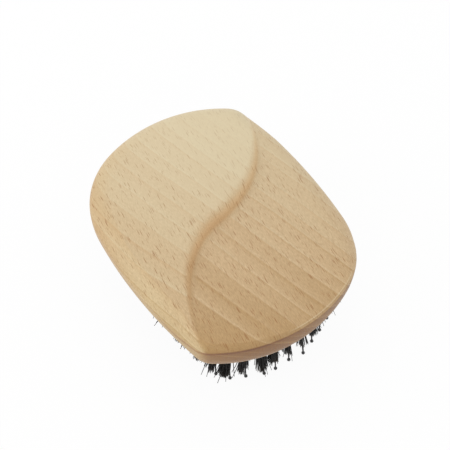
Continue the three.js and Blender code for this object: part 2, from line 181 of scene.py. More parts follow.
class TuftSettings(bpy.types.PropertyGroup):
    """Sizes of the tufts and their ball-tipped quills."""

    root_inset: length("Outer row", "From the opening to the roots of the outer row", 2)
    row_gap: length("Row gap", "Between one row and the next", 6)
    fan_long: length("Fan, ends", "How far the end quills lean out", 2.8)
    fan_wide: length("Fan, sides", "How far the side quills lean out", 1.2)
    quill_radius: length("Quill radius", "Radius of the quill at its root", 0.36)
    neck_radius: length("Neck radius", "Radius of the quill above its ball", 0.27)
    ball_radius: length("Ball radius", "Radius of the ball tip", 0.72)
    hairs: count("Bristles", "Bristles in each tuft", 120)
    hair_radius: length("Bristle radius", "Radius of a bristle at its root", 0.18)
    hair_short: length("Bristle shortness", "Bristle ends above the quill tips", 5.2)
    hair_uneven: length("Unevenness", "How much one tuft's length differs from the next", 0.9)
    hair_ragged: length("Raggedness", "How much the bristle lengths differ", 1.4)
    hair_taper: length("Taper", "How much shorter a tuft is round its outside", 1.8)
    root_spread: length("Root spread", "Radius of a tuft at its root", 1.4)
    root_room: length("Root room", "How far an outer tuft's roots spread towards the rim", 0.36)
    tip_spread: length("Tip spread", "Radius of a tuft at its tips", 2.2)
    splay: length("Splay", "How far the bristles at the two long sides lean out", 3)
    splay_start: length("Splay start", "Where along the brush the splay begins", -6)
    splay_rise: length("Splay rise", "How far on it reaches its full size", 20)
    lean: length("Lean", "How far a quill's tip strays from its place, as a deviation", 0.55)
    clumps: count("Clumps", "Points that a tuft's bristles gather into", 7)
    stray_reach: length("Stray reach", "How much wider the few stray bristles spread", 2.2)
    lean_seed: count("Lean seed", "Seed of the quills' lean", 43460)
    seed: count("Seed", "Seed of the bristles' irregularity", 11)


class FinishSettings(bpy.types.PropertyGroup):
    """Colours of the finishes."""

    beech_pale: colour("Pale beech", "Palest zones of the beech", "#D4C4A1")
    beech_middle: colour("Middle beech", "Middle tone of the beech", "#C8AC84")
    beech_deep: colour("Deep beech", "Deepest zones of the beech", "#B49365")
    beech_fleck: colour("Ray flecks", "Short dark dashes along the grain", "#92602F")
    # End grain, with painted shade where the ends face away from the light.
    beech_end_and_shade: colour("End grain", "Tone laid over cut ends", "#BFA26E")
    beech_edge: colour("Edge line", "Tone laid under the edge at one corner", "#D6B488")
    # Painted shade over the wall and shoulder at -Y.
    beech_side_shade: colour("Near side", "Tone laid over the wall and shoulder at -Y", "#F8F1E5")
    # Painted crease shade along the slope of the step.
    beech_crease_shade: colour("Cut line", "Tone laid over the line on the slope", "#F5E8D8")
    rubber: colour("Rubber", "Moulded rubber of the cushion", "#1C1B1B")
    bristle: colour("Bristle", "Dyed boar bristle", "#110E0C")
    bristle_tip: colour("Bristle tips", "Worn brown tips of some bristles", "#5A4028")
    nylon: colour("Nylon", "Quills and ball tips", "#101011")
    # Painted highlight along the crisp edge.
    beech_edge_highlight: colour("Worn edge", "Pale line along the worn edge", "#E2CFAA")
    floor: colour("Floor", "Pale paper the brush stands on", "#F4F4F4")


class CameraSettings(bpy.types.PropertyGroup):
    """Viewing angle of the stage's camera."""

    elevation: turn("Elevation", "Above the horizon", 59.86)
    azimuth: turn("Azimuth", "Round the brush, from the front", 53.13)
    distance: length("Distance", "From the aim to the lens", 288.23)
    aim_height: length("Aim height", "Height of the point aimed past", 23)
    aside: length("Aside", "Camera's place to the right of the aim", 1.66)
    above: length("Above", "Camera's place above the aim", 5.4)
    lens: number("Lens", "Focal length in mm on a 36 mm sensor", 63.9)


# ---------------------------------------------------------------- shape of the back


# Signs of X and Y in each quadrant, in the order of an outline's corner radii.
QUADRANTS = ((1, 1), (-1, 1), (-1, -1), (1, -1))

# The edge between top and wall, by polar angle in degrees.
EDGE_KINDS = (
    (-180, "soft"),
    (-138, "soft"),
    (-104, "side"),
    (-56, "side"),
    (-42, "corner"),
    (-2, "crisp"),
    (25, "crisp"),
    (46, "soft"),
    (180, "soft"),
)

# Polar angles in degrees between which a line fades in, and then out: the painted
# highlight along the crisp edge, and the dark line under the corner edge.
EDGE_HIGHLIGHT_ARC = (-12, -4, 24, 34)
EDGE_LINE_ARC = (-75, -50, -25, 2)

# How far under the edge its dark line lies, in half widths of the line.
EDGE_LINE_PLACE = 0.7

# Along the step: how much later its tone changes at its ends, where the painted light on
# its slope has its middle and how far that reaches, in step widths, and how soon the
# painted crease shade ends.
STEP_DELAY = 0.5
SLOPE_MIDDLE = 0.4
SLOPE_REACH = 0.25
CREASE_SHADE_FADE = 1.6

# Tufts in each closed row from the outside in, and the piece that the row belongs to.
ROW_COUNTS = (44, 28, 20, 16, 8)
ROW_BANDS = ("outer", "middle", "inner", "inner", "inner")

# Points round a row's outline, along which its tufts are spaced.
OUTLINE_STEPS = 1441


class Outline:
    """Outline with curved ends and flatter curved sides, inside the back's own."""

    def __init__(self, back, end_inset, side_inset, corner_radii):
        self.end_radius = back.end_radius - end_inset
        self.side_radius = back.side_radius - side_inset
        self.end_x = back.length / 2 - back.end_radius
        self.side_y = back.width / 2 - back.side_radius
        corners = [self._corner(s, r) for s, r in zip(QUADRANTS, corner_radii)]
        self.centres = np.array([c[0] for c in corners])
        self.radii, self.end_slopes, self.side_slopes = np.array([c[1:] for c in corners]).T

    def _corner(self, signs, radius):
        """Centre and radius of a corner arc, and the slopes where it begins and ends."""
        end = np.array((self.end_x * signs[0], 0.0))
        side = np.array((0.0, self.side_y * signs[1]))
        from_end = self.end_radius - radius
        from_side = self.side_radius - radius
        axis = side - end
        span = np.hypot(*axis)
        axis = axis / span
        along = (from_end**2 - from_side**2 + span**2) / (2 * span)
        aside = math.sqrt(max(from_end**2 - along**2, 0.0))
        across = np.array((-axis[1], axis[0])) * signs[0] * signs[1]
        centre = end + axis * along + across * aside
        slopes = []
        for middle, reach in ((end, self.end_radius), (side, self.side_radius)):
            touch = middle + (centre - middle) / np.hypot(*(centre - middle)) * reach
            slopes.append(abs(touch[1] / touch[0]))
        return (centre, radius, *slopes)

    def at(self, angles):
        """Points, outward normals and reaches at polar angles."""
        angles = np.asarray(angles, float)
        way = np.stack((np.cos(angles), np.sin(angles)), -1)
        signs = np.where(way < 0, -1, 1)
        front = np.where(signs[..., 1] > 0, 0, 3)
        rear = np.where(signs[..., 1] > 0, 1, 2)
        index = np.where(signs[..., 0] > 0, front, rear)
        slope = np.abs(way[..., 1]) / np.maximum(np.abs(way[..., 0]), 1e-9)
        on_side = slope > self.side_slopes[index]
        on_corner = (slope > self.end_slopes[index]) & ~on_side
        centre = np.stack((self.end_x * signs[..., 0], 0 * angles), -1)
        centre = np.where(on_corner[..., None], self.centres[index], centre)
        side_centre = np.stack((0 * angles, self.side_y * signs[..., 1]), -1)
        centre = np.where(on_side[..., None], side_centre, centre)
        radius = np.where(on_corner, self.radii[index], self.end_radius)
        radius = np.where(on_side, self.side_radius, radius)
        middle = (centre * way).sum(-1)
        off = centre[..., 0] * way[..., 1] - centre[..., 1] * way[..., 0]
        reach = middle + np.sqrt(radius**2 - off**2)
        points = way * reach[..., None]
        return points, (points - centre) / radius[..., None], reach

    def ring(self, angles, inset, height):
        """A ring at a distance inside the outline."""
        points, normals, _ = self.at(angles)
        flat = points - normals * np.broadcast_to(inset, np.shape(angles))[..., None]
        return with_height(flat, height)


def with_height(flat, height):
    """Points in plan, given a height."""
    heights = np.broadcast_to(height, flat.shape[:-1])
    return np.concatenate((flat, heights[..., None]), -1)


def smoothstep(value, low, high):
    """0 up to low and 1 from high on, with a smooth rise between them."""
    share = np.clip((value - low) / (high - low), 0, 1)
    return share * share * (3 - 2 * share)


def within_arc(angle, arc):
    """1 between the middle two of an arc's four polar angles, 0 outside the others."""
    degrees = np.degrees(angle)
    return smoothstep(degrees, *arc[:2]) * (1 - smoothstep(degrees, *arc[2:]))


def soft_line(off):
    """1 on a line and 0 a little way off it, from the distance in line widths."""
    return np.exp(-(off**2))


def rounded_ramp(share, start, end):
    """A straight ramp from 0 to 1 with rounded ends, each a share of its length."""
    share = np.clip(share, 0, 1)
    slope = 1 / (1 - (start + end) / 2)
    middle = slope * (share - start / 2)
    first = slope * share**2 / (2 * start)
    last = 1 - slope * (1 - share) ** 2 / (2 * end)
    return np.where(share < start, first, np.where(share > 1 - end, last, middle))


class BackShape:
    """Every height and outline of the back, from its settings."""

    def __init__(self, back):
        self.back = back
        tight = back.tight_corner
        self.body = Outline(back, 0, 0, (back.front_corner, tight, back.back_corner, tight))
        self.opening = self.opening_offset(0)

    def opening_offset(self, inset):
        """Outline parallel to the opening in the underside."""
        back = self.back
        radii = [back.opening_corner - inset] * 4
        return Outline(back, back.end_inset + inset, back.side_inset + inset, radii)

    def near_arm(self, share):
        """Direction of the step's -Y arm at a share of the reach of the outline."""
        return self.back.near_start + self.back.near_sweep * share**self.back.near_power

    def far_arm(self, share):
        """Direction of the step's +Y arm at a share of the reach of the outline."""
        return self.back.far_start + self.back.far_sweep * share**self.back.far_power

    def narrowed(self, width):
        """0 where the step is widest, 1 at its ends."""
        return (1 - width / self.back.step_width) / self.back.step_narrowing

    def from_crest(self, x, y):
        """Distance past the crest of the step, the step's width there, and its fade."""
        back = self.back
        angle = np.arctan2(y, x)
        reach = np.hypot(x, y)
        share = reach / self.body.at(angle)[2]
        from_near = reach * np.sin(angle - self.near_arm(share))
        from_far = reach * np.sin(self.far_arm(share) - angle)
        is_near = y < x * math.tan(back.near_start + math.pi / 2)
        from_arm = np.where(is_near, from_near, from_far)
        fade_angle = (self.near_arm(1) + self.far_arm(1) - math.pi) / 2
        along = x * math.cos(fade_angle) + y * math.sin(fade_angle)
        along = np.minimum(np.abs(along) / float(self.body.at(fade_angle)[2]), 1)
        width = back.step_width * (1 - back.step_narrowing * along**2)
        return from_arm + back.step_place * width, width, 1 - along**back.step_fade

    def step_share(self, x, y):
        """0 on the raised half, 1 on the hollow half."""
        past, width, fade = self.from_crest(x, y)
        return rounded_ramp(past / width, self.back.step_crest, self.back.step_foot) * fade

    def crown_height(self, x, y):
        """Height of the top before its edges are rounded."""
        back = self.back
        along = (x - back.raised_crown_x) / (back.length / 2)
        across = y / (back.width / 2)
        fall_long = np.where(along > 0, back.raised_fall_front, back.raised_fall_back)
        fall_wide = np.where(across > 0, back.raised_fall_far, back.raised_fall_near)
        raised = back.raised - fall_long * along**2 - fall_wide * across**2
        hollow = back.hollow - back.hollow_twist * x * y - back.hollow_fall_wide * across**2
        hollow = np.minimum(hollow, raised - back.step_least)
        return raised + (hollow - raised) * self.step_share(x, y)

    def edge_drop(self, angle, inside):
        """How far the top has dropped at a distance inside the outline."""
        back = self.back
        kinds = {
            "soft": (back.soft_reach, back.soft_drop, 0),
            "side": (back.side_reach, back.side_drop, back.crease),
            "corner": (back.corner_reach, back.corner_drop, back.crease),
            "crisp": (back.crisp_reach, back.crisp_drop, back.crease),
        }
        degrees = np.degrees(np.arctan2(np.sin(angle), np.cos(angle)))
        stations = [a for a, _ in EDGE_KINDS]
        columns = zip(*(kinds[kind] for _, kind in EDGE_KINDS))
        reach, drop, crease = (np.interp(degrees, stations, column) for column in columns)
        left = np.clip(1 - inside / reach, 0, 1)
        return drop * ((1 - crease) * (1 - np.sqrt(1 - left * left)) + crease * left)

    def top_height(self, x, y):
        """Height of the finished top above the underside."""
        angle = np.arctan2(y, x)
        _, normals, reach = self.body.at(angle)
        left = np.maximum(reach - np.hypot(x, y), 0)
        facing = normals[..., 0] * np.cos(angle) + normals[..., 1] * np.sin(angle)
        return self.crown_height(x, y) - self.edge_drop(angle, left * facing)

    def painted_edge_highlight(self, x, y):
        """Painted highlight: 1 along the hollow's crisp edge, 0 a little way off."""
        back = self.back
        angle = np.arctan2(y, x)
        left = np.maximum(self.body.at(angle)[2] - np.hypot(x, y), 0)
        line = soft_line((left - back.crisp_reach) / back.edge_highlight_width)
        return within_arc(angle, EDGE_HIGHLIGHT_ARC) * line

    def down_step(self, x, y):
        """0 at the crest of the step and 1 at its foot, later towards its ends."""
        past, width, _ = self.from_crest(x, y)
        return np.clip(past / width - STEP_DELAY * self.narrowed(width), -1, 2)

    def painted_slope_light(self, x, y):
        """Painted light: 1 near the slope's middle, less towards its ends, 0 off the slope."""
        past, width, _ = self.from_crest(x, y)
        line = soft_line((past / width - SLOPE_MIDDLE) / SLOPE_REACH)
        return line * np.clip(1 - self.narrowed(width), 0, 1)

    def painted_crease_shade(self, x, y):
        """Painted crease shade: 1 along the slope's line, less towards its ends, 0 a little way
        off.
        """
        past, width, _ = self.from_crest(x, y)
        line = soft_line((past - width * self.back.crease_shade_place) / self.back.crease_shade_width)
        return line * np.clip(1 - self.narrowed(width) * CREASE_SHADE_FADE, 0, 1)

    def edge_shade(self, angle, height):
        """1 in a line just under the edge round the +X -Y corner, 0 a little way off."""
        points = self.body.at(angle)[0]
        edge = self.back.underside + self.top_height(points[..., 0], points[..., 1])
        line = soft_line((edge - height) / self.back.edge_line - EDGE_LINE_PLACE)
        return within_arc(angle, EDGE_LINE_ARC) * line

    def wall_inset(self, height):
        """How far the wall stands inside the outline at a height above the underside."""
        back = self.back
        above = back.belly_tuck * ((height - back.belly) / (back.raised - back.belly)) ** 2
        below = back.foot_tuck * ((back.belly - height) / back.belly) ** 2
        return np.where(height > back.belly, above, below)

    def wall_ring(self, angles, share):
        """The wall, one ring at a share of the way down from the top edge."""
        back = self.back
        points, normals, _ = self.body.at(angles)
        top = self.top_height(points[..., 0], points[..., 1])
        height = top + (back.foot_radius - top) * share
        inset = self.wall_inset(height) - self.wall_inset(top) * (1 - share)
        return with_height(points - normals * inset[..., None], back.underside + height)


def pad_height(shape, cushion, x, y):
    """Front face of the rubber bed, which bulges downwards."""
    bed = shape.opening_offset(cushion.bed_inset)
    share = np.hypot(x, y) / bed.at(np.arctan2(y, x))[2]
    bulge = cushion.crown * (1 - np.minimum(share, 1) ** cushion.crown_power)
    return shape.back.underside - cushion.stand_out - bulge


def tuft_places(shape, tufts):
    """Row, root and tip in plan of every tuft."""
    back = shape.back
    outline = shape.opening_offset(tufts.root_inset)
    half = np.array((back.length / 2 - back.end_inset, back.width / 2 - back.side_inset))
    half = half - tufts.root_inset
    angles = np.linspace(0, 2 * math.pi, OUTLINE_STEPS)
    places = []
    for row, number_in_row in enumerate(ROW_COUNTS):
        points = outline.at(angles)[0] * (half - row * tufts.row_gap) / half
        steps = np.hypot(*np.diff(points, axis=0).T)
        way = np.concatenate(((0,), np.cumsum(steps))) / steps.sum()
        wanted = (np.arange(number_in_row) + 0.5) / number_in_row
        roots = np.stack([np.interp(wanted, way, points[:, i]) for i in (0, 1)], -1)
        lean = np.array((tufts.fan_long, tufts.fan_wide)) * roots / half
        places += [(row, root, root + out) for root, out in zip(roots, lean)]
    return places


# ---------------------------------------------------------------- mesh helpers


def ring_edges(verts):
    """Edges that join two of these vertices, each once and in the vertices' order."""
    chosen = set(verts)
    edges = (e for v in verts for e in v.link_edges if e.other_vert(v) in chosen)
    return list(dict.fromkeys(edges))


def move_ring(bm, verts, place):
    """Move a ring's vertices to place(angles). Each keeps the angle it started with."""
    layer = bm.verts.layers.float["angle"]
    spots = place(np.array([v[layer] for v in verts]))
    for vert, spot in zip(verts, spots):
        vert.co = spot


def next_ring(bm, verts, place):
    """Extrude a ring and move the new one to place(angles)."""
    made = bmesh.ops.extrude_edge_only(bm, edges=ring_edges(verts))["geom"]
    fresh = [e for e in made if isinstance(e, bmesh.types.BMVert)]
    move_ring(bm, fresh, place)
    return fresh


def close_ring(bm, verts, height):
    """Fill a ring with a fan round its middle at a height."""
    rim = next_ring(bm, verts, lambda a: with_height(np.zeros((len(a), 2)), height))
    bmesh.ops.pointmerge(bm, verts=rim, merge_co=(0, 0, height))


def circle_of_angles(segments, filled):
    """A circle whose vertices hold their angles, filled with triangles or empty."""
    bm = bmesh.new()
    layer = bm.verts.layers.float.new("angle")
    bmesh.ops.create_circle(bm, cap_ends=filled, cap_tris=filled, segments=segments, radius=1.0)
    for vert in bm.verts:
        vert[layer] = math.atan2(vert.co.y, vert.co.x)
    return bm


def ring_body(places, segments):
    """A closed ring, whose section goes through places, each a function of the angles."""
    bm = circle_of_angles(segments, filled=False)
    first = rim = list(bm.verts)
    move_ring(bm, rim, places[0])
    for place in places[1:]:
        rim = next_ring(bm, rim, place)
    bmesh.ops.bridge_loops(bm, edges=ring_edges(first) + ring_edges(rim))
    return bm


def placed(mesh, name, material):
    """An object of a mesh, in one material."""
    mesh.materials.clear()
    mesh.materials.append(material)
    made = bpy.data.objects.new(name, mesh)
    bpy.context.scene.collection.objects.link(made)
    return made


def finished(bm, name, material, smooth_below=40):
    """Turn a bmesh into an object, smooth but for edges over an angle in degrees."""
    bmesh.ops.recalc_face_normals(bm, faces=bm.faces)
    for face in bm.faces:
        face.smooth = True
    mesh = bpy.data.meshes.new(name)
    bm.to_mesh(mesh)
    bm.free()
    mesh.set_sharp_from_angle(angle=math.radians(smooth_below))
    return placed(mesh, name, material)


def strands_to_mesh(strands, name, material, roundness):
    """One mesh of strands, each a list of (point, radius).

    They have four sides at roundness 0 and six at 1.
    """
    curve = bpy.data.curves.new(name, "CURVE")
    curve.dimensions = "3D"
    curve.bevel_depth = 1.0
    curve.bevel_resolution = roundness
    curve.use_fill_caps = True
    for strand in strands:
        spline = curve.splines.new("POLY")
        spline.points.add(len(strand) - 1)
        for point, (spot, radius) in zip(spline.points, strand):
            point.co = (*spot, 1.0)
            point.radius = radius
    source = bpy.data.objects.new(name + "_curve", curve)
    bpy.context.scene.collection.objects.link(source)
    evaluated = source.evaluated_get(bpy.context.evaluated_depsgraph_get())
    mesh = bpy.data.meshes.new_from_object(evaluated)
    bpy.data.objects.remove(source)
    bpy.data.curves.remove(curve)
    mesh.name = name
    mesh.shade_smooth()
    return placed(mesh, name, material)


# ---------------------------------------------------------------- materials


def add_node(owner, kind, inputs=None, output=0, stops=(), **settings):
    """Add a node with its settings, its ramp's stops and its inputs.

    An input is a socket to link or a value to set. The output asked for comes back.
    """
    node = owner.node_tree.nodes.new("ShaderNode" + kind)
    for name, value in settings.items():
        setattr(node, name, value)
    for key, value in (inputs or {}).items():
        if isinstance(value, bpy.types.NodeSocket):
            owner.node_tree.links.new(value, node.inputs[key])
        else:
            node.inputs[key].default_value = value
    for index, (spot, tone) in enumerate(stops):
        held = node.color_ramp.elements
        element = held[index] if index < 2 else held.new(spot)
        element.position = spot
        element.color = tone
    return node.outputs[output] if node.outputs else node


def empty_nodes(owner):
    """Clear the node tree of a material or world."""
    owner.use_nodes = True
    owner.node_tree.nodes.clear()
    return owner


def new_surface(name):
    """A new material, the function that adds its nodes, and its Object coordinates."""
    material = empty_nodes(bpy.data.materials.new(name))
    add = functools.partial(add_node, material)
    return material, add, add("TexCoord", output="Object")


def rgba(tone):
    """A linear colour with its alpha."""
    return (*tone, 1.0)


def grey(level):
    """A linear grey with its alpha."""
    return (level, level, level, 1.0)


def paler(tone, gain, lift):
    """A paler version of a linear colour."""
    return rgba(c * gain + lift for c in tone)


def per_mm(*sizes):
    """Mapping scale that makes one pattern cell this many millimetres."""
    return tuple(1 / (size * MM) for size in sizes)


WHITE = grey(1.0)


# The growth rings, in mm. The pith lies this far towards -Y from the brush's middle and
# this far below the quill tips, and leans by so much for every metre along X.
PITH_ASIDE = 65.0
PITH_BELOW = 25.0
PITH_LEAN = -120.0

# From one ring to the next, how far a ring wanders off its round, how fast the width of
# the rings changes, and the tone across one ring from 0 to 1.
RING_PITCH = 4.0
RING_BEND = 2.4
RING_PACE = 0.11
RING_PROFILE = ((0.0, 0.3), (0.06, 1.0), (0.16, 0.66), (0.42, 0.5), (0.82, 0.4), (0.97, 0.05))

# How pale the wood is, as painted sheen: its change for every metre, its fall for the
# square of the metres from the middle to an end, and the heights between which the crown
# gets paler.
PAINTED_SHEEN_DRIFT = (-5.0, 7.0, 0.0)
PAINTED_SHEEN_END_FALL = -55.0
CROWN_SHEEN_LOW = 34 * MM
CROWN_SHEEN_HIGH = 39.5 * MM

# Broad zones that run with the rings: how fast they follow each other, and their tone.
ZONE_PACE = 0.09
ZONE_TONE = 0.16

# Where the wood's tone, with its painted sheen, gets paler, its rings, its fibre and its
# flecks show less: from one tone to another, and from one strength to another.
PALE_FADES = {
    "rings": (0.4, 0.85, 0.46, 0.3),
    "fibre": (0.42, 0.9, 1.0, 0.25),
    "flecks": (0.6, 0.92, 1.0, 0.4),
}

# How much stronger the rings are on cut ends, how strongly the painted edge highlight
# shows, how deep the flecks lie against the fibre, and, as factors on the wood's tone, the
# painted sheen on the -Y wall of the hollow half and the painted light on the step's slope.
END_RINGS = 1.2
EDGE_HIGHLIGHT_STRENGTH = 0.55
FLECK_RELIEF = -0.6
WALL_SHEEN_TINT = (1.13, 1.28, 1.42, 1.0)
SLOPE_LIGHT_TINT = (1.16, 1.11, 1.05, 1.0)

# What the back's mesh tells its material. The wall keeps the values that the top has at
# its edge, but for the painted edge highlight and the edge shade.
TOP_SHADES = ("painted_edge_highlight", "down_step", "painted_slope_light", "painted_crease_shade")
SHADES = (*TOP_SHADES, "edge_shade")


def beech_rings(add, place):
    """Growth rings, and how far each point is from their pith in mm.

    The rings are above 0 just past each ring's edge, where the wood is palest, and fall
    slowly below it. They are tubes round a pith that runs nearly along X, below the
    block and beyond its -Y side. So they cross the top as slanting streaks, which are
    far apart where the surface lies nearly along them, and run round the walls as
    stripes.
    """
    dot = {"operation": "DOT_PRODUCT", "output": "Value"}
    across = add("VectorMath", {0: place, 1: (PITH_LEAN, 1 / MM, 0.0)}, **dot)
    upward = add("VectorMath", {0: place, 1: (PITH_LEAN, 0.0, 1 / MM)}, **dot)
    across = add("Math", {0: across, 1: PITH_ASIDE}, operation="ADD")
    upward = add("Math", {0: upward, 1: PITH_BELOW}, operation="ADD")
    from_pith = add("CombineXYZ", {"Y": across, "Z": upward})
    radius = add("VectorMath", {0: from_pith}, output="Value", operation="LENGTH")
    slow = add("Mapping", {"Vector": place, "Scale": per_mm(70, 30, 30)})
    bend = add("TexNoise", {"Vector": slow, "Scale": 1.0, "Detail": 2.0})
    bent = add("Math", {0: bend, 1: RING_BEND, 2: radius}, operation="MULTIPLY_ADD")
    pace = add("Math", {0: bent, 1: RING_PACE}, operation="MULTIPLY")
    wander = add("TexNoise", {"W": pace, "Scale": 1.0, "Detail": 1.0}, noise_dimensions="1D")
    years = add("Math", {0: bent, 1: 1 / RING_PITCH, 2: wander}, operation="MULTIPLY_ADD")
    share = add("Math", {0: years}, operation="FRACT")
    stops = [(spot, grey(level)) for spot, level in RING_PROFILE]
    profile = add("ValToRGB", {"Fac": share}, stops=stops)
    year = add("Math", {0: years}, operation="FLOOR")
    strength = add("TexWhiteNoise", {"W": year}, noise_dimensions="1D")
    strength = add("MapRange", {"Value": strength, "To Min": 0.45, "To Max": 1.3})
    centred = add("Math", {0: profile, 1: 0.5}, operation="SUBTRACT")
    return add("Math", {0: centred, 1: strength}, operation="MULTIPLY"), bent


def beech_flecks(add, place):
    """Ray flecks: short dashes along the grain, thin enough to be one in each cell."""
    turned = add("Mapping", {"Vector": place, "Rotation": (0, 0, math.radians(9))})
    cells = add("Mapping", {"Vector": turned, "Scale": per_mm(4.9, 0.36, 14)})
    distance = add("TexVoronoi", {"Vector": cells, "Scale": 1.0})
    each = add("SeparateColor", {0: distance.node.outputs["Color"]})
    size = add("MapRange", {"Value": each, "To Min": 0.17, "To Max": 0.34})
    inside = add("Math", {0: distance, 1: size}, operation="DIVIDE")
    body = add("MapRange", {"Value": inside, "From Min": 1.0, "From Max": 0.65})
    depth = add("MapRange", {"Value": each.node.outputs[1], "To Min": 0.3, "To Max": 1.0})
    return add("Math", {0: body, 1: depth}, operation="MULTIPLY")


def beech_fibre(add, place):
    """Fibre and pores: streaks along the grain, drawn 0.26 mm wide so that they show."""
    turned = add("Mapping", {"Vector": place, "Rotation": (0, 0, math.radians(8))})
    fine = add("Mapping", {"Vector": turned, "Scale": per_mm(1.1, 0.26, 0.26)})
    return add("TexNoise", {"Vector": fine, "Scale": 1.0, "Detail": 3.0})


def beech_base(add, place, step):
    """Painted sheen: the wood paler towards -X and +Y and over the raised half's crown."""
    dot = {"operation": "DOT_PRODUCT", "output": "Value"}
    sheen_drift = add("VectorMath", {0: place, 1: PAINTED_SHEEN_DRIFT}, **dot)
    raised = add("MapRange", {"Value": step, "From Min": 0.35, "From Max": -0.35})
    along = add("SeparateXYZ", {0: place})
    height = along.node.outputs["Z"]
    crown = add("MapRange", {"Value": height, "From Min": CROWN_SHEEN_LOW, "From Max": CROWN_SHEEN_HIGH})
    crown = add("Math", {0: raised, 1: crown}, operation="MULTIPLY")
    tone_with_crown_sheen = add("MapRange", {"Value": crown, "To Min": 0.44, "To Max": 0.76})
    base = add("Math", {0: sheen_drift, 1: tone_with_crown_sheen}, operation="ADD")
    squared = add("Math", {0: along, 1: along}, operation="MULTIPLY")
    return add("Math", {0: squared, 1: PAINTED_SHEEN_END_FALL, 2: base}, operation="MULTIPLY_ADD")


def beech_faces(add, place):
    """Shares of four ways to face: cut end, level, -Y side, and -Y wall of the hollow half."""
    facing = add("SeparateXYZ", {0: place.node.outputs["Normal"]})
    sideways = facing.node.outputs["Y"]
    end_on = add("Math", {0: facing}, operation="ABSOLUTE")
    level_on = add("Math", {0: facing.node.outputs["Z"]}, operation="ABSOLUTE")
    ends = add("MapRange", {"Value": end_on, "From Min": 0.42, "From Max": 0.95})
    steep = add("MapRange", {"Value": level_on, "From Min": 0.5, "From Max": 0.15})
    ends = add("Math", {0: ends, 1: steep}, operation="MULTIPLY")
    level = add("MapRange", {"Value": level_on, "From Min": 0.2, "From Max": 0.75})
    near = add("MapRange", {"Value": sideways, "From Min": 0.0, "From Max": -0.5})
    wall = add("MapRange", {"Value": sideways, "From Min": -0.3, "From Max": -0.8})
    along = add("SeparateXYZ", {0: place})
    hollow = add("MapRange", {"Value": along, "From Min": -20 * MM, "From Max": 10 * MM})
    wall = add("Math", {0: wall, 1: hollow}, operation="MULTIPLY")
    before_end = add("MapRange", {"Value": facing, "From Min": 0.65, "From Max": 0.3})
    return ends, level, near, add("Math", {0: wall, 1: before_end}, operation="MULTIPLY")


